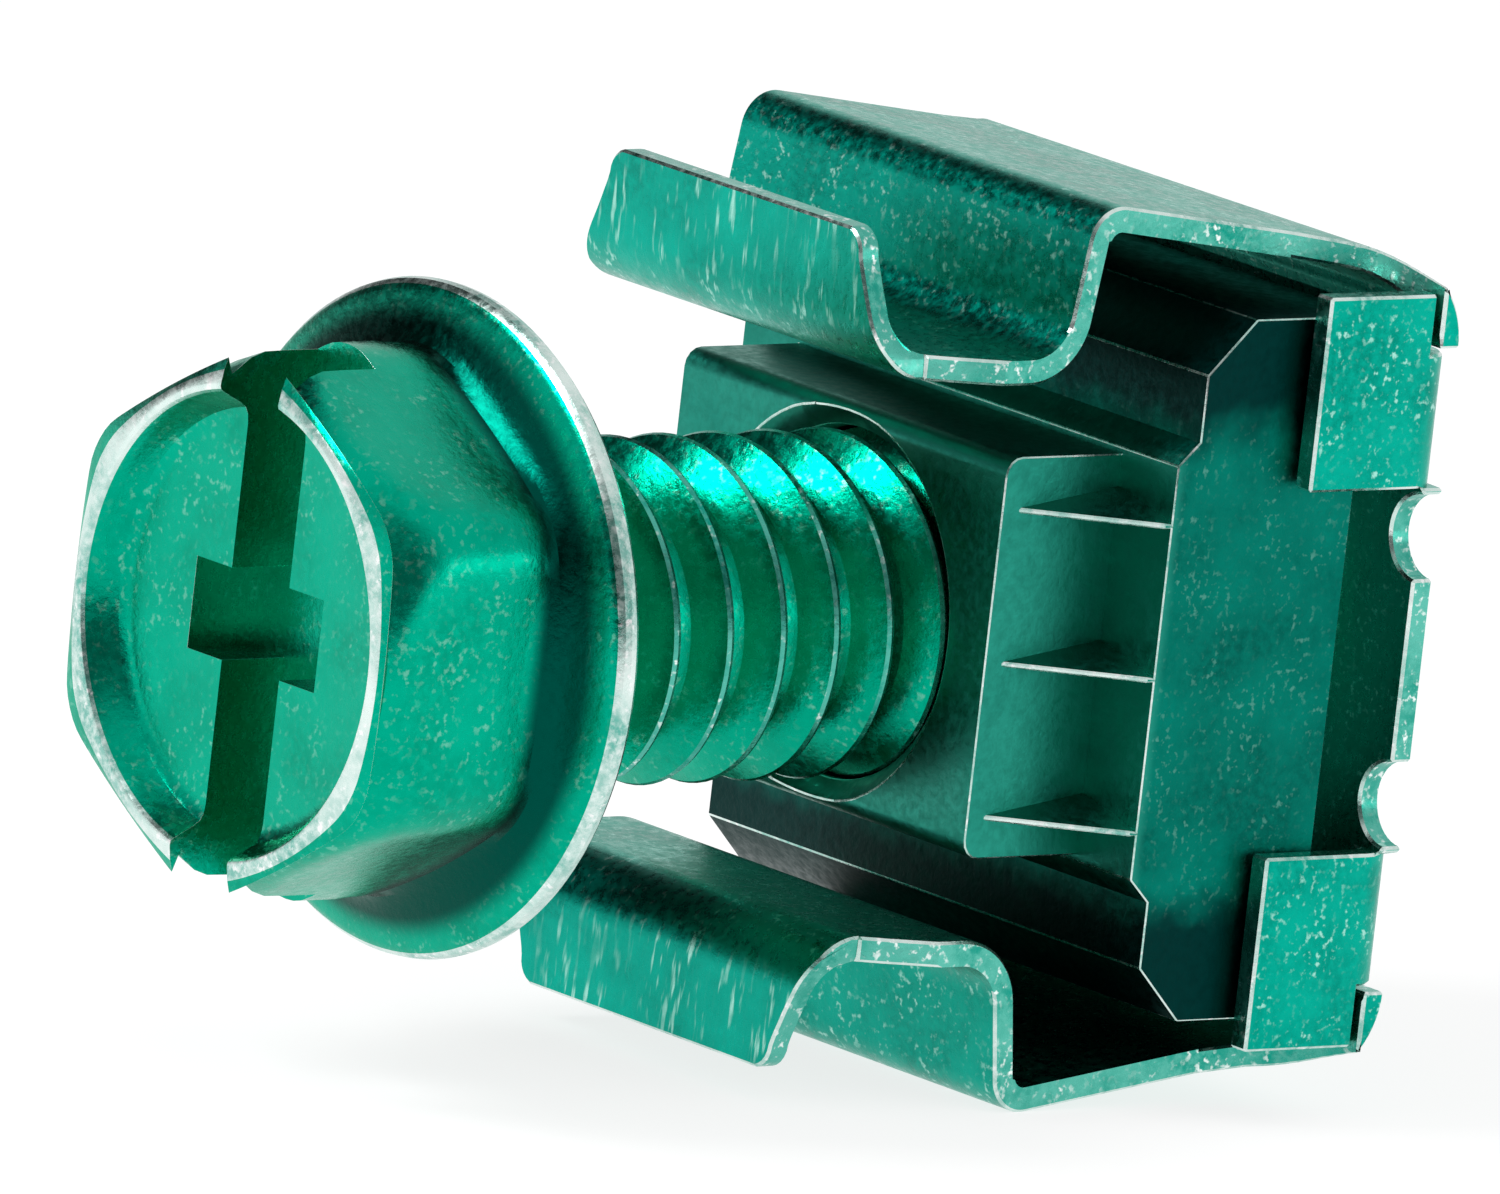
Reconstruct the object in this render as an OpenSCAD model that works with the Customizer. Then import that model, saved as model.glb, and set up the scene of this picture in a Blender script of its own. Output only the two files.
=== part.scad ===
// Cage nut for the square holes of a rack rail, with its hex washer head screw.
//
// Three pieces: a folded spring-steel cage, a square nut that floats in it, and a
// slotted cross-recess screw. The screw axis runs along Y with the head toward -Y,
// +Z is the side of one spring arm, and the origin is on the screw axis in the
// plane of the nut's front face, which seats on the back of the rail.

/* [Rail] */
// Side of the square hole that the neck of the cage clips into
rail_hole = 9.53; // [9.4:0.01:9.7]

/* [Spring cage] */
// Thickness of the spring strip
strip_t = 0.4; // [0.3:0.05:0.5]
// How far each neck stands outside the hole's edge before it is squeezed in
neck_preload = 0.06; // [0:0.01:0.2]
// Gap between the side of an arm and the side of the hole
arm_side_clear = 0.31; // [0.05:0.01:0.4]
// Height over both shoulders
cage_h = 14.44; // [14:0.02:16]
// Slope of each arm, down from its shoulder to the back plate, in degrees
arm_splay = 8; // [4:0.5:11]
// Slope of the shoulder wall, in degrees
shoulder_slope = 82; // [70:1:84]
// Slope of the lip, in degrees
lip_slope = 88; // [80:1:90]
// Height over the tips of both lips
lip_h = 13.4; // [13:0.1:14]
// Width of each lip where it leaves the neck
lip_base_w = 8.2; // [7.4:0.1:8.8]
// Width of each lip at its tip, between the centres of its round corners
lip_tip_w = 5.3; // [5:0.1:6.4]
// Radius of the lip's corners
lip_corner_r = 0.45; // [0.2:0.05:0.6]
// Gap for the rail, between the back of each lip and the nut's front face
rail_gap = 2.25; // [2.1:0.05:2.6]
// Length of the groove's flat bottom
groove_len = 1.6; // [1.4:0.05:1.8]
// Bend radius inside the groove, at the shoulder wall
wall_bend_r = 0.75; // [0.6:0.05:0.85]
// Bend radius inside the groove, at the lip
lip_bend_r = 0.6; // [0.4:0.05:0.8]
// Inside bend radius at the shoulder
shoulder_bend_r = 0.2; // [0.1:0.05:0.4]
// Inside bend radius between arm and back plate
back_bend_r = 1.05; // [0.8:0.05:1.2]
// Radius of the flare from the arm's side out to the back plate's side
flare_r = 2; // [1.8:0.1:2.4]
// Length of the side tabs, from the back plate's outer face to the free edge
tab_len = 2.7; // [2.2:0.1:3.4]
// Height of a side tab
tab_h = 3.1; // [2.6:0.1:3.2]
// Distance from the screw axis up to a tab's inner edge
tab_z = 2.92; // [2.8:0.02:3.1]
// Inside bend radius of the tabs
tab_bend_r = 0.25; // [0.15:0.05:0.4]
// Radius of the half-round relief at the inner end of each tab
relief_r = 0.68; // [0.5:0.02:0.7]
// Slit between a tab's free corner and the bend above it
tab_slit = 0.35; // [0.2:0.05:0.5]
// Diameter of the hole in the back plate that the screw's end passes through
back_hole_d = 7.2; // [6.2:0.1:8]

/* [Square nut] */
// Side of the nut
nut_side = 11; // [10.8:0.02:11.1]
// Height of the nut, across the arms
nut_h = 11.2; // [11:0.02:11.3]
// Thickness of the nut's base
nut_base_t = 3.2; // [2.8:0.05:3.5]
// Float between the nut's side and a tab
nut_float = 0.1; // [0.05:0.01:0.3]
// Gap behind the nut, to the back plate
nut_back_gap = 1; // [0.8:0.05:1.2]
// Bevel along the base's front edges
nut_bevel = 0.85; // [0.5:0.05:1.1]
// Height of the raised boss
boss_h = 6.5; // [6.2:0.1:7]
// Width of the boss between its toothed sides
boss_w = 8.2; // [7.8:0.1:8.6]
// Height of the low step that the boss stands on
step_t = 0.37; // [0.2:0.01:0.5]
// Distance between neighbouring teeth
tooth_pitch = 2.5; // [2.3:0.05:2.6]
// Half angle of a tooth's crest, in degrees
tooth_half_angle = 34; // [28:1:38]
// Setback of the teeth's front ends behind the nut's front face
tooth_setback = 0.3; // [0.2:0.05:0.5]
// Radius in the corner of the pockets between the teeth
pocket_r = 0.45; // [0.2:0.05:0.6]
// Chamfer at both ends of the nut's bore
bore_chamfer = 0.35; // [0.2:0.05:0.5]
// Running clearance between the thread's crests and the bore, on the radius
thread_clear = 0.04; // [0.02:0.01:0.08]

/* [Screw] */
// Outside diameter of the thread
thread_d = 5.486; // [5:0.002:5.6]
// Thread pitch
thread_pitch = 1.058; // [0.9:0.002:1.1]
// Length under the head
screw_len = 12.7; // [12:0.1:13.4]
// Distance from the nut's front face to the underside of the washer
head_gap = 7.75; // [7:0.05:8.2]
// Plain length under the washer, before the first thread
plain_len = 0.9; // [0.6:0.1:1.4]
// Chamfer at the screw's tip
tip_chamfer = 0.6; // [0.4:0.05:0.7]
// Diameter of the formed washer
washer_d = 10.6; // [10.2:0.1:11.2]
// Thickness of the washer at its rim
washer_rim = 0.5; // [0.4:0.05:0.7]
// Height at which the washer's cone meets the hexagon
washer_cone_h = 0.95; // [0.8:0.05:1.1]
// Distance across the hexagon's flats
hex_af = 7.94; // [7.6:0.02:8.1]
// Diameter that the hexagon's corners are rounded to
hex_corner_d = 8.95; // [8.6:0.05:9.1]
// Height of the head, from the washer's underside to the rim
head_h = 4.1; // [3.8:0.05:4.4]
// Radius of the rounded outer edge of the rim
rim_r = 0.45; // [0.3:0.05:0.5]
// Depth of the dished face below the rim
dish_depth = 0.62; // [0.4:0.02:0.7]
// Diameter of the dish's flat floor
dish_floor_d = 6.6; // [6:0.1:6.8]
// Width of the slot
slot_w = 1.47; // [1.3:0.01:1.7]
// Span of the cross recess's short arms
cross_span = 3.2; // [2.8:0.05:3.6]
// Height of the cross recess's short arms
cross_h = 1.5; // [1.2:0.05:1.7]
// Depth of the slot and the cross recess below the dish's floor
drive_depth = 1.2; // [1:0.05:1.4]

/* [Hidden] */
$fn = 64;

green = [0.0, 0.62, 0.53];
over = 1;                                  // how far a cutter runs past a face
lap = 0.2;                                 // how far two joined shapes overlap
bend_step = 7.5;                           // angle between the points on a bend

arm_w = rail_hole - 2 * arm_side_clear;    // width of the arms and the neck
neck_z = rail_hole / 2 + neck_preload;     // outer face of the neck
cage_w = nut_side + 2 * (nut_float + strip_t);
boss_len = 2.66;                           // from the nut's front face to its base
nut_back = boss_len + nut_base_t;
back_y = nut_back + nut_back_gap + strip_t; // outer face of the back plate

// Lengths of the strip's straight stretches, from the heights and depths they reach.
shoulder_R = shoulder_bend_r + strip_t;
back_R = back_bend_r + strip_t;
wall_len = (cage_h / 2 - neck_z - (wall_bend_r + shoulder_R) * (1 - cos(shoulder_slope)))
    / sin(shoulder_slope);
lip_len = (lip_h / 2 - neck_z - lip_bend_r * (1 - cos(lip_slope))) / sin(lip_slope);
groove_y = -rail_gap + lip_bend_r;         // front end of the groove's flat bottom
shoulder_end_y = groove_y + groove_len
    + wall_bend_r * sin(shoulder_slope) + wall_len * cos(shoulder_slope)
    + shoulder_R * (sin(shoulder_slope) + sin(arm_splay));
arm_len = (back_y - back_R * (1 - sin(arm_splay)) - shoulder_end_y) / cos(arm_splay);
bend_z = cage_h / 2 - shoulder_R * (1 - cos(arm_splay)) - arm_len * sin(arm_splay)
    - back_R * cos(arm_splay);             // where the back plate's flat ends
relief_z = tab_z - relief_r;
tab_root_z = bend_z - 0.1;                 // a tab is free of the plate above this
flare_y = back_y - strip_t - sqrt(pow(flare_r, 2) - pow(flare_r - (cage_w - arm_w) / 2, 2));

step_y = boss_len - step_t;                // front of the low step, floor of the pockets
tooth_run = nut_side / 2 - boss_w / 2;     // sideways reach of a tooth
tooth_fall = step_y - 0.22;                // depth at which a tooth meets the nut's side

major_r = thread_d / 2;
minor_r = major_r - 0.5413 * thread_pitch; // root of a 60 degree thread
bore_r = major_r + thread_clear;
thread_turns = floor((screw_len - plain_len - tip_chamfer) / thread_pitch);
dish_z = head_h - dish_depth;

// ---- Folded strip -----------------------------------------------------------
// A strip is a list of folds, each [straight length, turn, inside radius], that is
// followed along its outer face. Turns to the left are positive, and the strip
// lies on the right of that face.

// Points along a strip at a depth below its outer face.
function face_points(folds, t, depth, at, heading, i = 0) =
    i == len(folds) ? [] : let (
        run = folds[i][0], turn = folds[i][1], r = folds[i][2],
        from = at + run * [cos(heading), sin(heading)],
        bend_r = turn < 0 ? r + t - depth : r + depth,
        to_centre = heading + (turn < 0 ? -90 : 90),
        centre = from + bend_r * [cos(to_centre), sin(to_centre)],
        count = ceil(abs(turn) / bend_step),
        bend = [for (k = [1 : 1 : count]) let (a = to_centre + 180 + k * turn / count)
            centre + bend_r * [cos(a), sin(a)]],
        end = count > 0 ? bend[count - 1] : from
    ) concat([from], bend, face_points(folds, t, depth, end, heading + turn, i + 1));

// Side view of a strip of thickness t that starts at a point with a heading.
module folded_strip(folds, t, at, heading) {
    inner_at = at + t * [sin(heading), -cos(heading)];
    outer = concat([at], face_points(folds, t, 0, at, heading));
    inner = concat([inner_at], face_points(folds, t, t, inner_at, heading));
    polygon(concat(outer, [for (k = [len(inner) - 1 : -1 : 0]) inner[k]]));
}

// Side view of the whole cage strip, from the tip of one lip to the tip of the other.
module strip_profile() {
    lip_reach = lip_bend_r * sin(lip_slope) + lip_len * cos(lip_slope);
    shoulder_turn = -shoulder_slope - arm_splay;
    back_turn = arm_splay - 90;
    folded_strip([
        [lip_len, lip_slope, lip_bend_r],
        [groove_len, shoulder_slope, wall_bend_r],
        [wall_len, shoulder_turn, shoulder_bend_r],
        [arm_len, back_turn, back_bend_r],
        [2 * bend_z, back_turn, back_bend_r],
        [arm_len, shoulder_turn, shoulder_bend_r],
        [wall_len, shoulder_slope, wall_bend_r],
        [groove_len, lip_slope, lip_bend_r],
        [lip_len, 0, 0]
    ], strip_t, [groove_y - lip_reach, lip_h / 2], -lip_slope);
}

// Extrudes a side view, drawn as [y, z], across the width of the part.
module across(width) {
    rotate([90, 0, 90]) linear_extrude(width, center = true) children();
}

// Top view of the arms: parallel sides that flare out to the back plate, and that
// draw in to the lip over the front half of the groove.
module arm_outline() {
    lip_y = -rail_gap - strip_t - over;
    draw_in_y = groove_y + groove_len / 2;
    for (side = [0, 1]) mirror([side, 0]) polygon([
        [0, lip_y], [lip_base_w / 2, lip_y], [lip_base_w / 2, groove_y],
        [arm_w / 2, draw_in_y], [arm_w / 2, back_y + over], [0, back_y + over]
    ]);
    difference() {
        translate([-cage_w / 2, flare_y]) square([cage_w, back_y + over - flare_y]);
        for (side = [-1, 1])
            translate([side * (arm_w / 2 + flare_r), flare_y]) circle(flare_r);
    }
}

// Front view of a lip: sides that lean in from the groove to two round corners.
module lip_outline() {
    corner = [lip_tip_w / 2, lip_h / 2 - lip_corner_r];
    base = [lip_base_w / 2, neck_z];
    to_corner = corner - base;
    lean = atan2(to_corner[1], to_corner[0]) - asin(lip_corner_r / norm(to_corner)) - 90;
    side = corner + lip_corner_r * [cos(lean), sin(lean)];
    for (end = [0, 1]) mirror([end, 0]) {
        polygon([
            [0, neck_z - strip_t - over], [base[0], neck_z - strip_t - over], base,
            side, corner, [corner[0], lip_h / 2], [0, lip_h / 2]
        ]);
        translate(corner) circle(lip_corner_r);
    }
}

// Space that one arm keeps of the full-width strip: its top view, with the lip's
// front view ahead of the groove.
module arm_space() {
    intersection() {
        linear_extrude(cage_h) arm_outline();
        union() {
            rotate([90, 0, 0]) linear_extrude(cage_h) lip_outline();
            translate([-cage_w / 2, groove_y, 0]) cube([cage_w, boss_len - groove_y, cage_h]);
            translate([-cage_w / 2, 0, bend_z]) cube([cage_w, back_y + over, cage_h]);
        }
    }
}

// Front view of the back plate, with a relief notch at the inner end of each tab.
module back_outline() {
    difference() {
        union() {
            square([cage_w, 2 * tab_z], center = true);
            square([cage_w - 2 * (tab_bend_r + strip_t), 2 * (bend_z + lap)], center = true);
        }
        for (side = [-1, 1]) for (end = [-1, 1])
            translate([side * cage_w / 2, end * relief_z]) circle(relief_r);
        circle(d = back_hole_d);
    }
}

// The folded strip from lip to lip, cut to its outlines.
module strip() {
    intersection() {
        across(cage_w) strip_profile();
        union() {
            for (end = [0, 1]) mirror([0, 0, end]) arm_space();
            translate([0, back_y + over, 0]) rotate([90, 0, 0])
                linear_extrude(strip_t + 2 * over) back_outline();
        }
    }
}

// One side tab, folded forward from the back plate's side.
module tab() {
    root = tab_bend_r + strip_t;
    intersection() {
        translate([0, 0, tab_z]) linear_extrude(tab_h)
            folded_strip([[2 * root, -90, tab_bend_r], [tab_len - root, 0, 0]], strip_t,
                [cage_w / 2 - 3 * root, back_y], 0);
        across(2 * cage_w) {
            translate([back_y - tab_len, tab_z]) square([tab_len - root - tab_slit, tab_h]);
            translate([back_y - root - tab_slit, tab_z])
                square([root + tab_slit, tab_root_z - tab_z]);
        }
    }
}

module spring_cage() {
    color(green) {
        strip();
        for (end = [0, 1]) for (side = [0, 1])
            mirror([0, 0, end]) mirror([side, 0, 0]) tab();
    }
}

// ---- Square nut -------------------------------------------------------------

// Side view of the base and of the low step that carries the boss.
module nut_profile() {
    top = nut_h / 2;
    step_top = boss_h / 2 + 0.1;
    for (end = [0, 1]) mirror([0, end])
        polygon([
            [nut_back, 0], [nut_back, top], [boss_len + nut_bevel, top],
            [boss_len, top - nut_bevel], [boss_len, step_top + step_t],
            [step_y, step_top - step_t], [step_y, 0]
        ]);
}

// One tooth: a sharp crest that falls from the boss's front to the nut's side.
module tooth() {
    fall = tooth_fall - tooth_setback;
    crest_len = norm([tooth_run, fall]);
    depth = 1.6;                           // buried foot of the tooth
    half_w = depth * tan(tooth_half_angle);
    translate([boss_w / 2, tooth_setback, 0])
        rotate([0, 0, atan2(fall, tooth_run)])
            rotate([90, 0, 90])
                translate([0, 0, -0.25]) linear_extrude(crest_len + 1)
                    polygon([[0, 0], [depth, half_w], [depth, -half_w]]);
}

// The concave corner that runs along the foot of the boss's toothed side.
module pocket_fillet() {
    translate([boss_w / 2, step_y, -boss_h / 2]) linear_extrude(boss_h) difference() {
        translate([-pocket_r / 2, -pocket_r]) square([1.5 * pocket_r, 1.5 * pocket_r]);
        translate([pocket_r, -pocket_r]) circle(pocket_r);
    }
}

module toothed_side() {
    pocket_fillet();
    intersection() {
        for (k = [-1, 0, 1]) translate([0, 0, k * tooth_pitch]) tooth();
        translate([0, 0, -boss_h / 2]) cube([nut_side / 2, boss_len, boss_h]);
    }
}

module square_nut() {
    color(green) difference() {
        union() {
            across(nut_side) nut_profile();
            translate([-boss_w / 2, 0, -boss_h / 2]) cube([boss_w, boss_len, boss_h]);
            for (side = [0, 1]) mirror([side, 0, 0]) toothed_side();
        }
        rotate([-90, 0, 0]) rotate_extrude() polygon([
            [0, -over], [bore_r + bore_chamfer + over, -over], [bore_r, bore_chamfer],
            [bore_r, nut_back - bore_chamfer], [bore_r + bore_chamfer + over, nut_back + over],
            [0, nut_back + over]
        ]);
    }
}

// ---- Screw ------------------------------------------------------------------
// Drawn head up, with the washer's underside at z = 0.

// Washer with a round rim and a cone up to the hexagon.
module washer_profile() {
    edge_r = washer_d / 2 - washer_rim / 2;
    square([edge_r, washer_rim]);
    translate([edge_r, washer_rim / 2]) circle(washer_rim / 2);
    polygon([[0, 0], [edge_r, washer_rim], [hex_af / 2, washer_cone_h], [0, washer_cone_h]]);
}

// Turned envelope of the hexagon: rounded corners and a rounded rim.
module crown_profile() {
    corner_r = hex_corner_d / 2;
    square([corner_r, head_h - rim_r]);
    square([corner_r - rim_r, head_h]);
    translate([corner_r - rim_r, head_h - rim_r]) circle(rim_r);
}

module hexagon() {
    intersection() {
        rotate(30) cylinder(h = head_h, d = hex_af / cos(30), $fn = 6);
        rotate_extrude() crown_profile();
    }
}

// The dished face: a flat floor and a wall that slopes up to the rim.
module dish() {
    floor_r = dish_floor_d / 2;
    rotate_extrude() polygon([
        [0, dish_z], [floor_r, dish_z], [floor_r + dish_depth, head_h],
        [floor_r + dish_depth, head_h + over], [0, head_h + over]
    ]);
}

// A slot right across the head, and the short arms that make it a cross.
module drive_recess() {
    z0 = dish_z - drive_depth;
    tall = head_h + over - z0;
    translate([-slot_w / 2, -hex_corner_d, z0]) cube([slot_w, 2 * hex_corner_d, tall]);
    translate([-cross_span / 2, -cross_h / 2, z0]) cube([cross_span, cross_h, tall]);
}

// Half section of the shank, with one groove for each turn of the thread.
module shank_profile() {
    flank = 0.3125 * thread_pitch;
    crest = thread_pitch / 8;
    polygon([
        [0, washer_rim / 2], [major_r, washer_rim / 2],
        for (i = [0 : thread_turns - 1]) let (z = -plain_len - i * thread_pitch) each [
            [major_r, z], [major_r, z - crest], [minor_r, z - crest - flank],
            [minor_r, z - thread_pitch + flank]
        ],
        [minor_r, -screw_len + tip_chamfer], [minor_r - tip_chamfer, -screw_len],
        [0, -screw_len]
    ]);
}

module screw() {
    color(green) translate([0, -head_gap, 0]) rotate([90, 0, 0]) {
        difference() {
            union() {
                rotate_extrude() washer_profile();
                hexagon();
            }
            dish();
            drive_recess();
        }
        rotate_extrude() shank_profile();
    }
}

spring_cage();
square_nut();
screw();
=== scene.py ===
"""Rack cage nut: a green plated square nut in its spring cage, with its screw."""
import math

import bpy
from mathutils import Matrix, Vector


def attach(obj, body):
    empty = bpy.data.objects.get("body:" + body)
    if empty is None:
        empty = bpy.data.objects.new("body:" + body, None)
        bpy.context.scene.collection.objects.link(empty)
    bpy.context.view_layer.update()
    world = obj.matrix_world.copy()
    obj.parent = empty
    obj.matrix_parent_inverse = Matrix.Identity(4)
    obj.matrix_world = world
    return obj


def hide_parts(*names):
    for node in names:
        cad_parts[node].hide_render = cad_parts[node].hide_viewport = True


MM = 0.001
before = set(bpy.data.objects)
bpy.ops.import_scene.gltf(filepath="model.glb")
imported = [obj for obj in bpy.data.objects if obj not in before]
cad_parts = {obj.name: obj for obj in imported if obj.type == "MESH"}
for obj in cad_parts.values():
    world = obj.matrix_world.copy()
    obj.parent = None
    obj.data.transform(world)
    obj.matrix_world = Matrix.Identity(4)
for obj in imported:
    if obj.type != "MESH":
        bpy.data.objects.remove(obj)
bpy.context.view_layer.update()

# Sizes in millimetres. The screw lies along Y, its head toward -Y.
STRIP_T = 0.4
ARM_W = 8.91
CAGE_W = 12.0
CAGE_H = 14.44
NECK_Z = 4.825
LIP_H = 13.4
RAIL_GAP = 2.25
BACK_Y = 7.26
ARM_SPLAY, SHOULDER_SLOPE, LIP_SLOPE = 8, 82, 88
LIP_BEND, WALL_BEND, SHOULDER_BEND, BACK_BEND = 0.6, 0.75, 0.2, 1.05
GROOVE_LEN = 1.6
TAB_LEN, TAB_H, TAB_Z, TAB_BEND = 2.7, 3.1, 2.92, 0.25
RELIEF_R = 0.68
BACK_HOLE_R = 3.6

NUT_SIDE, NUT_H, NUT_BACK = 11.0, 11.2, 5.86
BASE_Y, STEP_Y = 2.66, 2.27
NUT_BEVEL = 0.87
BOSS_W, BOSS_H = 8.2, 6.4
TOOTH_PITCH, TOOTH_LIFT = 2.45, -0.1
BORE_R = 2.783

HEAD_GAP = 7.75
HEX_FLAT, HEX_CORNER = 3.97, 4.4
DISH_Z = 3.48
SLOT_W, CROSS_SPAN, CROSS_H, DRIVE_DEPTH = 1.47, 3.24, 1.46, 1.2
MAJOR_R, PITCH = 2.743, 1.058
MINOR_R = MAJOR_R - 0.5413 * PITCH
SCREW_LEN, PLAIN_LEN = 12.7, 0.9

# Each piece has its plating first, then the worn edge with a painted highlight, then the
# sheared edge, which also paints the highlight on the thread's crests.
EDGE_WEAR_AND_HIGHLIGHT, SHEARED_EDGE_AND_CREST_HIGHLIGHT = 1, 2


# ---- Modelling, in millimetres -----------------------------------------------

def deselect():
    if bpy.context.mode != "OBJECT":
        bpy.ops.object.mode_set(mode="OBJECT")
    bpy.ops.object.select_all(action="DESELECT")


def activate(ob):
    deselect()
    ob.select_set(True)
    bpy.context.view_layer.objects.active = ob


def draw_line(name, points, closed=False):
    """Draws an edge chain through points, one extrude after another."""
    deselect()
    bpy.ops.mesh.primitive_plane_add(size=0.1, location=(0, 0, 0))
    ob = bpy.context.object
    ob.name = ob.data.name = name
    bpy.ops.object.mode_set(mode="EDIT")
    bpy.ops.mesh.select_all(action="SELECT")
    bpy.ops.mesh.merge(type="CENTER")
    bpy.ops.transform.translate(value=points[0])
    for here, there in zip(points, points[1:]):
        bpy.ops.mesh.extrude_region_move(
            TRANSFORM_OT_translate={"value": Vector(there) - Vector(here)})
    bpy.ops.mesh.select_all(action="SELECT")
    if closed:
        bpy.ops.mesh.edge_face_add()
    return ob


def extrude(by):
    bpy.ops.mesh.extrude_region_move(TRANSFORM_OT_translate={"value": by})


def finish_mesh(ob, merge=0.0005):
    bpy.ops.object.mode_set(mode="EDIT")
    bpy.ops.mesh.select_all(action="SELECT")
    bpy.ops.mesh.remove_doubles(threshold=merge)
    bpy.ops.mesh.normals_make_consistent(inside=False)
    bpy.ops.object.mode_set(mode="OBJECT")
    return ob


def prism(name, points, by):
    """A closed outline extruded along a vector."""
    ob = draw_line(name, points, closed=True)
    extrude(by)
    return finish_mesh(ob)


def revolve(name, profile, steps):
    """Spins a profile of [radius, y] once round the screw's axis."""
    ob = draw_line(name, [(r, y, 0) for r, y in profile])
    bpy.ops.mesh.spin(steps=steps, angle=2 * math.pi, center=(0, 0, 0), axis=(0, 1, 0))
    return finish_mesh(ob)


def modify(ob, kind, **settings):
    activate(ob)
    mod = ob.modifiers.new(kind.lower(), kind)
    for key, value in settings.items():
        setattr(mod, key, value)
    bpy.ops.object.modifier_apply(modifier=mod.name)
    return ob


def boolean(ob, other, operation):
    modify(ob, "BOOLEAN", operation=operation, solver="EXACT", object=other)
    bpy.data.objects.remove(other, do_unlink=True)
    return ob


def round_edges(ob, width, degrees, clamp=False):
    """Breaks the sharp outer edges, and gives them the second finish of the piece, the worn
    edge with its painted highlight.
    """
    sides = {}
    for face in ob.data.polygons:
        for key in face.edge_keys:
            sides.setdefault(key, []).append(face)
    weight = ob.data.attributes.new("bevel_weight_edge", "FLOAT", "EDGE")
    for edge in ob.data.edges:
        pair = sides.get(edge.key, [])
        if len(pair) == 2:
            one, other = pair
            sharp = one.normal.angle(other.normal, 0) > math.radians(degrees)
            outer = (other.center - one.center).dot(one.normal) < 0
            weight.data[edge.index].value = 1.0 if sharp and outer else 0.0
    modify(ob, "BEVEL", width=width, segments=1, limit_method="WEIGHT",
           use_clamp_overlap=clamp, material=EDGE_WEAR_AND_HIGHLIGHT)


def dress(ob, *materials):
    for mat in materials:
        ob.data.materials.append(mat)


def done(ob, node, body, smooth=24):
    """Scales a piece to metres, shades it smooth by angle, hides its CAD part and ties it
    to the frame.
    """
    activate(ob)
    ob.scale = (MM, MM, MM)
    bpy.ops.object.transform_apply(location=True, rotation=True, scale=True)
    bpy.ops.object.shade_smooth_by_angle(angle=math.radians(smooth))
    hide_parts(node)
    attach(ob, body)
    return ob


# ---- Finishes ----------------------------------------------------------------

def nodes_of(mat):
    mat.use_nodes = True
    return mat.node_tree, mat.node_tree.nodes["Principled BSDF"]


def noise(tree, scale, detail=4, stretch=(1, 1, 1), rough=0.55):
    place = tree.nodes.new("ShaderNodeTexCoord")
    turn = tree.nodes.new("ShaderNodeMapping")
    turn.inputs["Scale"].default_value = stretch
    tex = tree.nodes.new("ShaderNodeTexNoise")
    tex.inputs["Scale"].default_value = scale / MM
    tex.inputs["Detail"].default_value = detail
    tex.inputs["Roughness"].default_value = rough
    tree.links.new(place.outputs["Object"], turn.inputs["Vector"])
    tree.links.new(turn.outputs["Vector"], tex.inputs["Vector"])
    return tex.outputs["Fac"]


def between(tree, value, low, high, to_low=0.0, to_high=1.0):
    node = tree.nodes.new("ShaderNodeMapRange")
    node.interpolation_type = "SMOOTHSTEP"
    for socket, number in (("From Min", low), ("From Max", high),
                           ("To Min", to_low), ("To Max", to_high)):
        node.inputs[socket].default_value = number
    tree.links.new(value, node.inputs["Value"])
    return node.outputs["Result"]


def blend_colour(tree, amount, first, second):
    node = tree.nodes.new("ShaderNodeMix")
    node.data_type = "RGBA"
    tree.links.new(amount, node.inputs["Factor"])
    for socket, colour in ((node.inputs[6], first), (node.inputs[7], second)):
        if isinstance(colour, tuple):
            socket.default_value = (*colour, 1)
        else:
            tree.links.new(colour, socket)
    return node.outputs[2]


def math_node(tree, operation, a, b):
    node = tree.nodes.new("ShaderNodeMath")
    node.operation = operation
    for socket, value in zip(node.inputs, (a, b)):
        if isinstance(value, (int, float)):
            socket.default_value = value
        else:
            tree.links.new(value, socket)
    return node.outputs["Value"]


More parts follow.
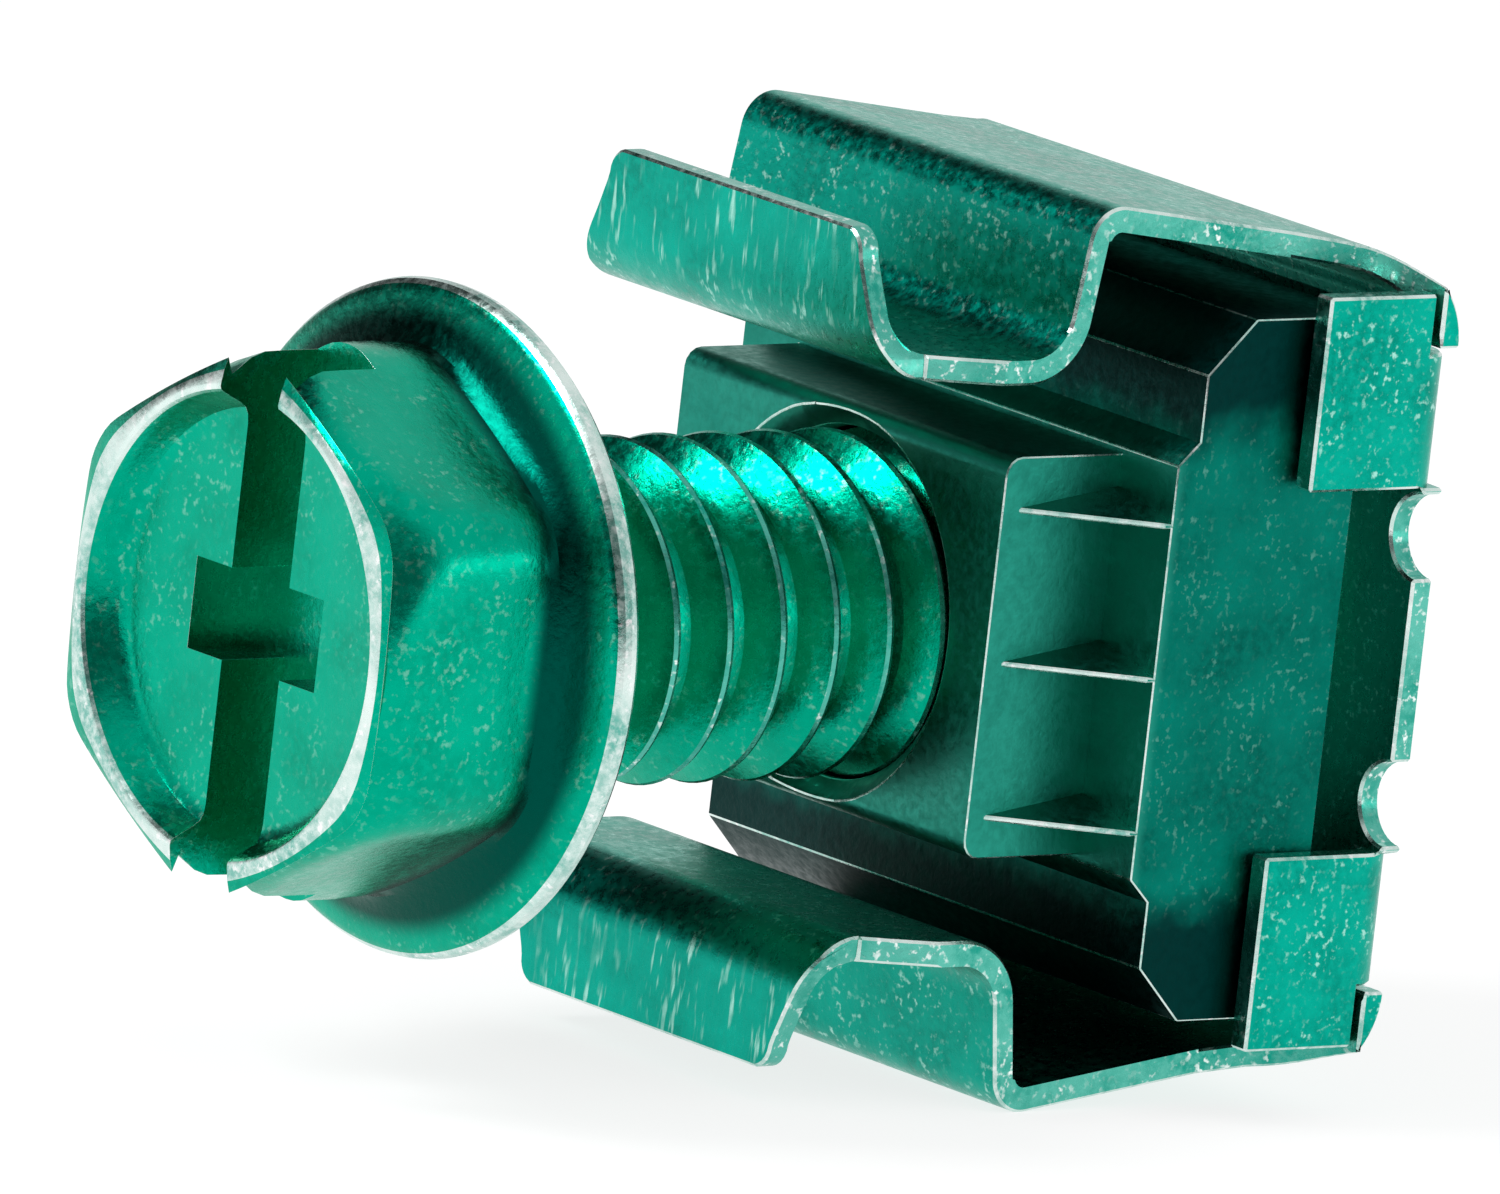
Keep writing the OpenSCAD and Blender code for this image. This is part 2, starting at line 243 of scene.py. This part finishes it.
def green_plating(name, dark, mid, light, flecks, scratch=False, rough=(0.22, 0.4),
                  step_tone_and_painted_end_shade=False, painted_corner_shade=False):
    """Dyed zinc plating: a soft cloudy green, a fine mottle and pale flecks.

    scratch draws the flecks out on the lips, painted_corner_shade paints a shade band at
    the foot of the head's cone, and step_tone_and_painted_end_shade gives the boss and
    teeth ahead of the nut's step a lighter green and paints shade on the nut's two ends."""
    mat = bpy.data.materials.new(name)
    tree, shader = nodes_of(mat)
    clouds = noise(tree, 0.7, 3)
    mottle = noise(tree, 6.0, 5, rough=0.65)
    fleck = noise(tree, 8.0, 2)
    place = tree.nodes.new("ShaderNodeTexCoord")
    split = tree.nodes.new("ShaderNodeSeparateXYZ")
    tree.links.new(place.outputs["Object"], split.inputs["Vector"])
    if scratch:
        on_lips = between(tree, split.outputs["Y"], -1.2 * MM, -1.9 * MM)
        mix = tree.nodes.new("ShaderNodeMix")
        tree.links.new(on_lips, mix.inputs["Factor"])
        tree.links.new(fleck, mix.inputs[2])
        tree.links.new(noise(tree, 8.0, 2, stretch=(1, 1, 0.16)), mix.inputs[3])
        fleck = mix.outputs[0]
    patch = noise(tree, 1.3, 2)
    colour = blend_colour(tree, between(tree, clouds, 0.3, 0.7), dark, mid)
    colour = blend_colour(tree, between(tree, mottle, 0.35, 0.75), colour, mid)
    amount = math_node(tree, "MULTIPLY", between(tree, fleck, 0.55, 0.7),
                       between(tree, patch, 0.4, 0.65, 0.1 * flecks, flecks))
    colour = blend_colour(tree, amount, colour, light)
    # Painted shade: a near black band in the corner at the foot of the head's cone, between
    # the washer and the hexagon.
    if painted_corner_shade:
        corner_shade_band = math_node(
            tree, "MULTIPLY",
            between(tree, split.outputs["Y"],
                    -(HEAD_GAP + 1.3) * MM, -(HEAD_GAP + 0.95) * MM),
            between(tree, split.outputs["Y"],
                    -(HEAD_GAP + 0.5) * MM, -(HEAD_GAP + 0.66) * MM))
        colour = blend_colour(tree, corner_shade_band, colour, (0.0, 0.07, 0.05))
    if step_tone_and_painted_end_shade:
        height = math_node(tree, "ABSOLUTE", split.outputs["Z"], 0.0)
        ragged = math_node(tree, "MULTIPLY", patch, 1.2 * MM)
        height = math_node(tree, "ADD", height, ragged)
        # A lighter cloudy green on the boss and teeth ahead of the step.
        colour = blend_colour(tree, between(tree, split.outputs["Y"], 2.5 * MM, 2.2 * MM),
                              colour, blend_colour(tree, clouds, (0.01, 0.2, 0.15),
                                                   (0.03, 0.36, 0.27)))
        # Painted shade: the colour goes near black towards the nut's two ends, with a
        # ragged edge.
        colour = blend_colour(tree, between(tree, height, 3.9 * MM, 4.9 * MM), colour,
                              (0.0, 0.03, 0.027))
    tree.links.new(colour, shader.inputs["Base Color"])
    shader.inputs["Metallic"].default_value = 1.0
    tree.links.new(between(tree, mottle, 0.3, 0.7, rough[0], rough[1]),
                   shader.inputs["Roughness"])
    bump = tree.nodes.new("ShaderNodeBump")
    bump.inputs["Strength"].default_value = 0.35
    bump.inputs["Distance"].default_value = 0.02 * MM
    height = math_node(tree, "ADD", mottle, math_node(tree, "MULTIPLY", fleck, 0.5))
    tree.links.new(height, bump.inputs["Height"])
    tree.links.new(bump.outputs["Normal"], shader.inputs["Normal"])
    return mat


# The cage's bare sheared edges; on the screw the same finish paints the highlight on the
# thread's crests.
sheared_edge_and_crest_highlight = green_plating("sheared_edge_and_crest_highlight", (0.0, 0.30, 0.22), (0.12, 0.52, 0.42),
                             (0.9, 1.0, 0.97), 1.0, rough=(0.2, 0.35))
cage_green = green_plating("cage_green_plating", (0.0, 0.26, 0.19), (0.0, 0.42, 0.31),
                           (0.45, 0.85, 0.74), 0.8, scratch=True)
nut_green = green_plating("nut_green_plating", (0.0, 0.10, 0.075), (0.0, 0.19, 0.14),
                          (0.2, 0.5, 0.42), 0.35, rough=(0.3, 0.5), step_tone_and_painted_end_shade=True)
screw_green = green_plating("screw_green_plating", (0.0, 0.31, 0.19), (0.0, 0.42, 0.265),
                            (0.4, 0.8, 0.66), 0.3, rough=(0.18, 0.32), painted_corner_shade=True)
# Near white: partly wear on the edges, partly a painted highlight on the rims, crests and
# rounded edges.
worn_edge_and_highlight = green_plating("worn_edge_and_painted_highlight", (0.12, 0.45, 0.37), (0.8, 0.92, 0.88),
                          (1.0, 1.0, 1.0), 1.0, rough=(0.2, 0.35))


# ---- Spring cage -------------------------------------------------------------

def follow(folds, at, heading, step=6.0):
    """Points [y, z] along the strip's outer face, fold after fold."""
    points = [Vector(at)]
    for run, turn, radius in folds:
        here = points[-1] + run * Vector((math.cos(heading), math.sin(heading)))
        if run:
            points.append(here)
        if turn:
            side = 1 if turn > 0 else -1
            reach = radius if turn > 0 else radius + STRIP_T
            to_centre = heading + side * math.pi / 2
            centre = here + reach * Vector((math.cos(to_centre), math.sin(to_centre)))
            count = math.ceil(abs(turn) / step)
            for k in range(1, count + 1):
                a = to_centre + math.pi + math.radians(turn) * k / count
                points.append(centre + reach * Vector((math.cos(a), math.sin(a))))
            heading += math.radians(turn)
    return points


def strip_path():
    rad = math.radians
    shoulder_r, back_r = SHOULDER_BEND + STRIP_T, BACK_BEND + STRIP_T
    wall = (CAGE_H / 2 - NECK_Z - (WALL_BEND + shoulder_r)
            * (1 - math.cos(rad(SHOULDER_SLOPE)))) / math.sin(rad(SHOULDER_SLOPE))
    lip = (LIP_H / 2 - NECK_Z - LIP_BEND * (1 - math.cos(rad(LIP_SLOPE)))) \
        / math.sin(rad(LIP_SLOPE))
    groove_y = -RAIL_GAP + LIP_BEND
    end_y = groove_y + GROOVE_LEN + WALL_BEND * math.sin(rad(SHOULDER_SLOPE)) \
        + wall * math.cos(rad(SHOULDER_SLOPE)) \
        + shoulder_r * (math.sin(rad(SHOULDER_SLOPE)) + math.sin(rad(ARM_SPLAY)))
    arm = (BACK_Y - back_r * (1 - math.sin(rad(ARM_SPLAY))) - end_y) \
        / math.cos(rad(ARM_SPLAY))
    bend_z = CAGE_H / 2 - shoulder_r * (1 - math.cos(rad(ARM_SPLAY))) \
        - arm * math.sin(rad(ARM_SPLAY)) - back_r * math.cos(rad(ARM_SPLAY))
    reach = LIP_BEND * math.sin(rad(LIP_SLOPE)) + lip * math.cos(rad(LIP_SLOPE))
    folds = [(lip, LIP_SLOPE, LIP_BEND), (GROOVE_LEN, SHOULDER_SLOPE, WALL_BEND),
             (wall, -SHOULDER_SLOPE - ARM_SPLAY, SHOULDER_BEND),
             (arm, ARM_SPLAY - 90, BACK_BEND), (bend_z, 0, 0)]
    return follow(folds, (groove_y - reach, LIP_H / 2), -rad(LIP_SLOPE)), bend_z, groove_y


def make_cage():
    path, bend_z, groove_y = strip_path()
    half = CAGE_W / 2
    ob = draw_line("cage_strip", [(-half, p[0], p[1]) for p in path])
    bpy.ops.mesh.select_all(action="SELECT")
    extrude((CAGE_W, 0, 0))
    bpy.ops.object.mode_set(mode="OBJECT")
    modify(ob, "MIRROR", use_axis=(False, False, True), use_mirror_merge=True,
           merge_threshold=0.001)
    finish_mesh(ob)
    modify(ob, "SOLIDIFY", thickness=STRIP_T, offset=cage_side(ob), use_even_offset=True)
    finish_mesh(ob, 0.0001)

    flare_r, arm = 2.0, ARM_W / 2
    beyond, ahead = 7.5, -4.0
    turn_y = BACK_Y - STRIP_T
    flare_y = turn_y - math.sqrt(flare_r ** 2 - (flare_r - (half - arm)) ** 2)
    neck_mid = groove_y + GROOVE_LEN / 2
    lip_half, draw_in = 3.85, 0.25
    waste = [(beyond, ahead), (lip_half, ahead), (lip_half, groove_y - 0.1),
             (lip_half + draw_in, groove_y + 0.35), (arm, neck_mid + 0.3),
             (arm, flare_y)]
    for k in range(1, 9):
        x = arm + (half - arm) * k / 8
        drop = math.sqrt(flare_r ** 2 - (flare_r - (x - arm)) ** 2)
        waste.append((x, flare_y + drop))
    waste.append((beyond, turn_y))
    for side in (1, -1):
        cutter = prism("plan_waste", [(side * x, y, -9) for x, y in waste], (0, 0, 18))
        boolean(ob, cutter, "DIFFERENCE")

    # The lip's side, as [x, z]: it draws in from the bend to the rounded free corner.
    lip_side = [(8, 4.2), (3.86, 4.2), (3.84, 4.75), (3.62, 5.25), (3.42, 5.7),
                (3.24, 6.15)]
    corner_x, corner_z, corner_r = 3.2, 6.28, 0.42
    corner = [(corner_x - corner_r * (1 - math.cos(a)), corner_z + corner_r * math.sin(a))
              for a in (math.radians(15 * k) for k in range(7))]
    lip_side += corner + [(2.0, 6.7), (2.0, 9.0), (8, 9.0)]
    lip_ahead = 4.2
    for end in (1, -1):
        for side in (1, -1):
            outline = [(side * x, -lip_ahead, end * z) for x, z in lip_side]
            cutter = prism("lip_waste", outline, (0, groove_y + lip_ahead - 0.05, 0))
            boolean(ob, cutter, "DIFFERENCE")

    ledge = 0.1
    for end in (1, -1):
        for side in (1, -1):
            boolean(ob, side_waste(side, end, bend_z), "DIFFERENCE")
            boolean(ob, make_tab(side, end), "UNION")
            notch = revolve("notch", [(0, 5), (RELIEF_R, 5), (RELIEF_R, 9), (0, 9)], 40)
            notch.location = (side * half, 0, end * (TAB_Z - RELIEF_R - ledge))
            boolean(ob, notch, "DIFFERENCE")
    hole = revolve("hole", [(0, 6), (BACK_HOLE_R, 6), (BACK_HOLE_R, 8.5), (0, 8.5)], 72)
    boolean(ob, hole, "DIFFERENCE")
    finish_mesh(ob, 0.002)
    dress(ob, cage_green, worn_edge_and_highlight, sheared_edge_and_crest_highlight)
    mark_cut_faces(ob)
    round_edges(ob, 0.045, 40)
    return ob


def cage_side(ob):
    """Solidify's offset that puts the wall inside the strip's outer face."""
    top = max(ob.data.polygons, key=lambda f: f.center.z)
    return -1 if top.normal.z > 0 else 1


def side_waste(side, end, bend_z):
    """What is cut from the back plate's side to make room for a folded tab."""
    x0, x1 = CAGE_W / 2 - TAB_BEND - STRIP_T, CAGE_W
    z0, z1 = TAB_Z, bend_z
    return prism("root_waste", [(side * x, 6.5, end * z)
                                for x, z in ((x0, z0), (x1, z0), (x1, z1), (x0, z1))],
                 (0, 2, 0))


def make_tab(side, end):
    """One side tab, folded forward from the back plate, with its free upper corner."""
    root = TAB_BEND + STRIP_T
    x_in, x_out, front = CAGE_W / 2 - root, CAGE_W / 2, BACK_Y - TAB_LEN
    outer, inner = [], []
    for k in range(9):
        a = math.radians(90 - 90 * k / 8)
        outer.append((x_in + root * math.cos(a), BACK_Y - root + root * math.sin(a)))
        inner.append((x_in + TAB_BEND * math.cos(a),
                      BACK_Y - root + TAB_BEND * math.sin(a)))
    outline = [(x_in - 0.4, BACK_Y)] + outer + [(x_out, front), (x_out - STRIP_T, front)] \
        + list(reversed(inner)) + [(x_in - 0.4, BACK_Y - STRIP_T)]
    tab = prism("tab", [(side * x, y, end * TAB_Z) for x, y in outline],
                (0, 0, end * TAB_H))
    slit_y, slit_z = BACK_Y - root + 0.1, 5.05
    slit = prism("slit", [(side * x, y, end * slit_z) for x, y in
                          ((4, slit_y), (8, slit_y), (8, 9), (4, 9))],
                 (0, 0, end * 2))
    return boolean(tab, slit, "DIFFERENCE")


def mark_cut_faces(ob):
    """Gives the sheared faces, across the strip's thickness, their own finish."""
    for face in ob.data.polygons:
        x, y, z = face.center
        n = face.normal
        on_tab = y > BACK_Y - TAB_LEN - 0.01 and abs(x) > CAGE_W / 2 - STRIP_T - 0.01 \
            and TAB_Z - 0.01 < abs(z) < TAB_Z + TAB_H + 0.01
        if on_tab:
            cut = abs(n.z) > 0.9 or n.y < -0.9
        else:
            cut = abs(n.x) > 0.3 or (y < -RAIL_GAP + 0.1 and abs(z) > LIP_H / 2 - 0.4
                                     and abs(n.z) > 0.5)
        if cut:
            face.material_index = SHEARED_EDGE_AND_CREST_HIGHLIGHT


cage = make_cage()
done(cage, "spring_cage", "nut_and_cage")


# ---- Square nut --------------------------------------------------------------

def make_nut():
    top, half = NUT_H / 2, NUT_SIDE / 2
    step_top = BOSS_H / 2 + 0.1
    front = [(BASE_Y + NUT_BEVEL, top), (BASE_Y, top - NUT_BEVEL),
             (BASE_Y, step_top + 0.37), (STEP_Y, step_top)]
    side_view = [(NUT_BACK, top)] + front + [(y, -z) for y, z in reversed(front)] \
        + [(NUT_BACK, -top)]
    ob = prism("toothed_nut", [(-half, y, z) for y, z in side_view], (2 * half, 0, 0))
    r, bw, bh = 0.3, BOSS_W / 2, BOSS_H / 2
    boss_side = [(3.5, bh), (r, bh)]
    boss_side += [(r - r * math.sin(a), bh - r + r * math.cos(a))
                  for a in map(math.radians, (22, 45, 68, 90))]
    boss_side += [(y, -z) for y, z in reversed(boss_side)]
    boss = prism("boss", [(-bw, y, z) for y, z in boss_side], (2 * bw, 0, 0))
    boolean(ob, boss, "UNION")
    for side in (1, -1):
        for k in (-1, 0, 1):
            boolean(ob, make_tooth(side, TOOTH_LIFT + k * TOOTH_PITCH), "UNION")
    sink = 0.35
    wide = BORE_R + 1 + sink
    bore = revolve("bore", [(0, -1), (wide, -1), (BORE_R, sink),
                            (BORE_R, NUT_BACK - sink), (wide, NUT_BACK + 1),
                            (0, NUT_BACK + 1)], 72)
    boolean(ob, bore, "DIFFERENCE")
    finish_mesh(ob, 0.001)
    dress(ob, nut_green, worn_edge_and_highlight, sheared_edge_and_crest_highlight)
    mark_crests(ob)
    round_edges(ob, 0.022, 25)
    return ob


def make_tooth(side, z):
    """A thin ridge whose crest runs from the boss's front out to the nut's side."""
    start = Vector((BOSS_W / 2 - 0.12, 0.18))
    end = Vector((NUT_SIDE / 2, 2.12))
    foot_w = 0.42
    land = 0.04
    corners = [
        (start.x, start.y, z - land), (start.x, start.y, z + land),
        (end.x, end.y, z - land), (end.x, end.y, z + land),
        (end.x, STEP_Y + 0.4, z - land), (start.x, STEP_Y + 0.4, z + foot_w),
        (start.x, STEP_Y + 0.4, z - 0.06),
    ]
    ob = draw_line("tooth", [(side * x, y, w) for x, y, w in corners])
    bpy.ops.mesh.select_all(action="SELECT")
    bpy.ops.mesh.convex_hull()
    return finish_mesh(ob)


def mark_crests(ob):
    """The narrow lands along the teeth's crests get the worn edge finish, a painted
    highlight.
    """
    for face in ob.data.polygons:
        x, y, z = face.center
        on_crest = any(abs(z - TOOTH_LIFT - k * TOOTH_PITCH) < 0.02 for k in (-1, 0, 1))
        if on_crest and face.area < 0.4 and 4 < abs(x) < 5.45 and face.normal.y < -0.3:
            face.material_index = EDGE_WEAR_AND_HIGHLIGHT


nut = make_nut()
done(nut, "square_nut", "nut_and_cage")


# ---- Screw -------------------------------------------------------------------

def hexagon_radius(angle, corner):
    """Distance from the axis to the hexagon's side, with its corners rounded."""
    off = (angle + math.pi / 6) % (math.pi / 3) - math.pi / 6
    side = HEX_FLAT / math.cos(off)
    sharp = 90.0
    return (side ** -sharp + corner ** -sharp) ** (-1 / sharp)


def make_head():
    # Each ring is its height over the washer's underside, its radius, and how far it is
    # a hexagon. In turn they are the washer, the cone, the flats, the rim and the dish.
    washer = [(0.0, 4.9, 0), (0.0, 5.08, 0), (0.05, 5.2, 0), (0.14, 5.275, 0),
              (0.25, 5.3, 0), (0.36, 5.275, 0), (0.45, 5.2, 0), (0.5, 5.1, 0)]
    cone = [(0.53, 4.98, 0), (0.62, 4.72, 0), (0.72, 4.5, 0.15), (0.83, 4.34, 0.4),
            (0.96, 4.22, 0.7), (1.12, 4.16, 0.88)]
    flats = [(1.32, 4.36, 1), (1.6, 4.4, 1), (2.9, 4.4, 1), (3.3, 4.29, 1),
             (3.55, 4.14, 1), (3.75, 3.99, 1), (3.9, 3.88, 1)]
    rim = [(4.0, 3.83, 0.8), (4.06, 3.79, 0.4), (4.095, 3.75, 0), (4.1, 3.7, 0),
           (4.085, 3.65, 0), (4.03, 3.61, 0)]
    dish = [(3.85, 3.52, 0), (3.68, 3.44, 0), (3.56, 3.36, 0), (3.5, 3.25, 0),
            (3.48, 3.1, 0)]
    rings = washer + cone + flats + rim + dish
    count = 144
    deselect()
    bpy.ops.mesh.primitive_circle_add(vertices=count, radius=rings[0][1])
    ob = bpy.context.object
    ob.name = ob.data.name = "hex_washer_screw"
    bpy.ops.object.mode_set(mode="EDIT")
    bpy.ops.mesh.select_all(action="SELECT")
    bpy.ops.mesh.edge_face_add()
    for _ in rings[1:]:
        extrude((0, 0, 1))
    bpy.ops.object.mode_set(mode="OBJECT")
    for v in ob.data.vertices:
        h, r, hexed = rings[min(round(v.co.z), len(rings) - 1)]
        a = math.atan2(v.co.y, v.co.x)
        hexagon = hexagon_radius(a, r if hexed == 1 else HEX_CORNER)
        out = r if hexed == 0 else hexed * hexagon + (1 - hexed) * r
        v.co = (out * math.cos(a), -HEAD_GAP - h, out * math.sin(a))
    return finish_mesh(ob, 0.0001)


def make_screw():
    ob = make_head()
    floor_y = -HEAD_GAP - DISH_Z + DRIVE_DEPTH
    right_across = 13.0
    for w, h in ((SLOT_W, right_across), (CROSS_SPAN, CROSS_H)):
        outline = [(x, floor_y, z) for x, z in
                   ((-w / 2, -h / 2), (w / 2, -h / 2), (w / 2, h / 2), (-w / 2, h / 2))]
        boolean(ob, prism("drive", outline, (0, -4, 0)), "DIFFERENCE")
    finish_mesh(ob, 0.001)
    dress(ob, screw_green, worn_edge_and_highlight, sheared_edge_and_crest_highlight)
    round_edges(ob, 0.035, 40, clamp=True)
    under = -HEAD_GAP
    plain, tip = under + PLAIN_LEN, under + SCREW_LEN
    core, neck = MINOR_R + 0.02, MAJOR_R + 0.12
    shank = revolve("shank", [
        (0, under - 0.3), (neck, under - 0.3), (neck, under),
        (MAJOR_R + 0.03, under + 0.06), (MAJOR_R, under + 0.16),
        (MAJOR_R, plain - 0.15), (MAJOR_R - 0.06, plain - 0.04),
        (core, plain + 0.42), (core, tip - 0.5), (core - 0.4, tip), (0, tip)],
        96)
    boolean(shank, make_thread(tip), "UNION")
    boolean(ob, shank, "UNION")
    finish_mesh(ob, 0.0005)
    mark_rims(ob)
    return ob


def make_thread(tip):
    """A right-hand ridge wound round the core, drawn down to nothing at the tip."""
    root, crest, deep = PITCH * 0.375, PITCH / 16, MINOR_R - 0.25
    section = [(deep, -root), (MINOR_R, -root), (MAJOR_R - 0.03, -crest), (MAJOR_R, 0),
               (MAJOR_R - 0.03, crest), (MINOR_R, root), (deep, root)]
    y0 = -HEAD_GAP + PLAIN_LEN - 0.3
    turns = math.floor((tip - 0.35 - y0) / PITCH)
    steps = 72
    ob = draw_line("thread", [(r, 0, y) for r, y in section], closed=True)
    bpy.ops.mesh.delete(type="ONLY_FACE")
    bpy.ops.object.mode_set(mode="OBJECT")
    modify(ob, "SCREW", axis="Z", angle=2 * math.pi, screw_offset=PITCH,
           iterations=turns, steps=steps, render_steps=steps, use_merge_vertices=False,
           use_normal_calculate=True)
    bpy.ops.object.mode_set(mode="EDIT")
    bpy.ops.mesh.select_all(action="DESELECT")
    bpy.ops.mesh.select_mode(type="EDGE")
    bpy.ops.mesh.select_non_manifold()
    bpy.ops.mesh.fill()
    bpy.ops.object.mode_set(mode="OBJECT")
    length, fade_len = turns * PITCH, 0.7
    for v in ob.data.vertices:
        x, y, z = v.co
        r, a = math.hypot(x, y), math.atan2(y, x)
        fade = min(1.0, max(0.0, (length - z) / fade_len))
        r = min(r, MINOR_R - 0.1 + (MAJOR_R - MINOR_R + 0.1) * fade)
        v.co = (r * math.cos(a), y0 + z, -r * math.sin(a))
    return finish_mesh(ob, 0.00001)


def mark_rims(ob):
    """The rims get the worn edge finish with its painted highlight, and the thread's crests
    get a painted highlight in the sheared edge finish.
    """
    for face in ob.data.polygons:
        x, y, z = face.center
        r, h = math.hypot(x, z), -HEAD_GAP - y
        # Painted highlight on the crown's rim and on the washer's rim.
        if (h > 4.05 and r > 3.62) or (0.08 < h < 0.46 and r > 5.2):
            face.material_index = EDGE_WEAR_AND_HIGHLIGHT
        # Painted highlight: the thread's crests take the pale sheared edge finish.
        elif h < -PLAIN_LEN and r > MAJOR_R - 0.025 and abs(face.normal.y) < 0.8:
            face.material_index = SHEARED_EDGE_AND_CREST_HIGHLIGHT


screw = make_screw()
done(screw, "screw", "screw")


# ---- Studio ------------------------------------------------------------------

def place_camera():
    """Looks at the head from the front right, a little from above and tilted."""
    az, el, roll = math.radians(50.7), math.radians(10.8), math.radians(6.5)
    dist, view_width = 600 * MM, 23.4375 * MM
    off_left, off_up, sensor = 1.1484375 * MM, 0.078125 * MM, 36
    back = Vector((math.sin(az) * math.cos(el), -math.cos(az) * math.cos(el), math.sin(el)))
    right = Vector((math.cos(az), math.sin(az), 0))
    up = back.cross(right)
    across = right * math.cos(roll) + up * math.sin(roll)
    upward = up * math.cos(roll) - right * math.sin(roll)
    aim = upward * off_up - across * off_left
    cam = bpy.data.cameras.new("camera")
    cam.sensor_width = sensor
    cam.lens = sensor * dist / view_width
    ob = bpy.data.objects.new("camera", cam)
    bpy.context.scene.collection.objects.link(ob)
    turn = Matrix((across, upward, back)).transposed().to_4x4()
    ob.matrix_world = Matrix.Translation(aim + back * dist) @ turn
    bpy.context.scene.camera = ob


def light_world():
    """A plain level all round, with darker zones for the metal to reflect."""
    world = bpy.data.worlds.new("studio")
    bpy.context.scene.world = world
    world.use_nodes = True
    tree = world.node_tree
    shade = tree.nodes["Background"]
    place = tree.nodes.new("ShaderNodeTexCoord")

    def toward(direction, low, high, to_low, to_high):
        dot = tree.nodes.new("ShaderNodeVectorMath")
        dot.operation = "DOT_PRODUCT"
        dot.inputs[1].default_value = Vector(direction).normalized()
        tree.links.new(place.outputs["Generated"], dot.inputs[0])
        return between(tree, dot.outputs["Value"], low, high, to_low, to_high)

    near = toward((0.8, -0.6, 0.05), 0.5, 0.88, 1.0, 0.25)
    front = toward((0.2, -0.97, -0.15), 0.75, 0.93, 1.0, 0.05)
    above = toward((-0.72, -0.2, 0.62), 0.7, 0.88, 1.0, 0.02)
    below = toward((0, 0, -1), 0.45, 0.9, 1.0, 0.4)
    studio = math_node(tree, "MULTIPLY", math_node(tree, "MULTIPLY", near, front),
                       math_node(tree, "MULTIPLY", above, below))
    path = tree.nodes.new("ShaderNodeLightPath")
    level = 0.82
    lit = math_node(tree, "MULTIPLY", studio, level)
    mix = tree.nodes.new("ShaderNodeMix")
    tree.links.new(path.outputs["Is Camera Ray"], mix.inputs["Factor"])
    tree.links.new(lit, mix.inputs[2])
    mix.inputs[3].default_value = 1.0
    shade.inputs["Color"].default_value = (1, 1, 1, 1)
    tree.links.new(mix.outputs[0], shade.inputs["Strength"])


def add_light(name, at, size, watts):
    data = bpy.data.lights.new(name, "AREA")
    data.size = size
    data.energy = watts
    ob = bpy.data.objects.new(name, data)
    bpy.context.scene.collection.objects.link(ob)
    at = Vector(at)
    turn = at.to_track_quat("Z", "Y").to_matrix().to_4x4()
    ob.matrix_world = Matrix.Translation(at) @ turn


def lay_floor():
    """A pale floor that shows white, apart from the soft shadow on it."""
    deselect()
    bpy.ops.mesh.primitive_plane_add(size=4, location=(0, 0, -CAGE_H / 2 * MM))
    floor = bpy.context.object
    floor.name = floor.data.name = "floor"
    bpy.ops.object.transform_apply(location=True)
    mat = bpy.data.materials.new("pale_floor")
    tree, shader = nodes_of(mat)
    shader.inputs["Base Color"].default_value = (0.3, 0.3, 0.3, 1)
    shader.inputs["Roughness"].default_value = 1.0
    shader.inputs["Specular IOR Level"].default_value = 0.0
    shader.inputs["Emission Color"].default_value = (1, 1, 1, 1)
    path = tree.nodes.new("ShaderNodeLightPath")
    seen = math_node(tree, "MAXIMUM", path.outputs["Is Camera Ray"],
                     path.outputs["Is Glossy Ray"])
    glow = math_node(tree, "MULTIPLY", seen, 0.8)
    tree.links.new(glow, shader.inputs["Emission Strength"])
    floor.data.materials.append(mat)


place_camera()
light_world()
lay_floor()
add_light("key", (-0.06, -0.16, 0.16), 0.08, 0.3)
add_light("side", (0.2, 0.14, 0.0), 0.12, 0.05)
bpy.context.scene.view_settings.view_transform = "Standard"
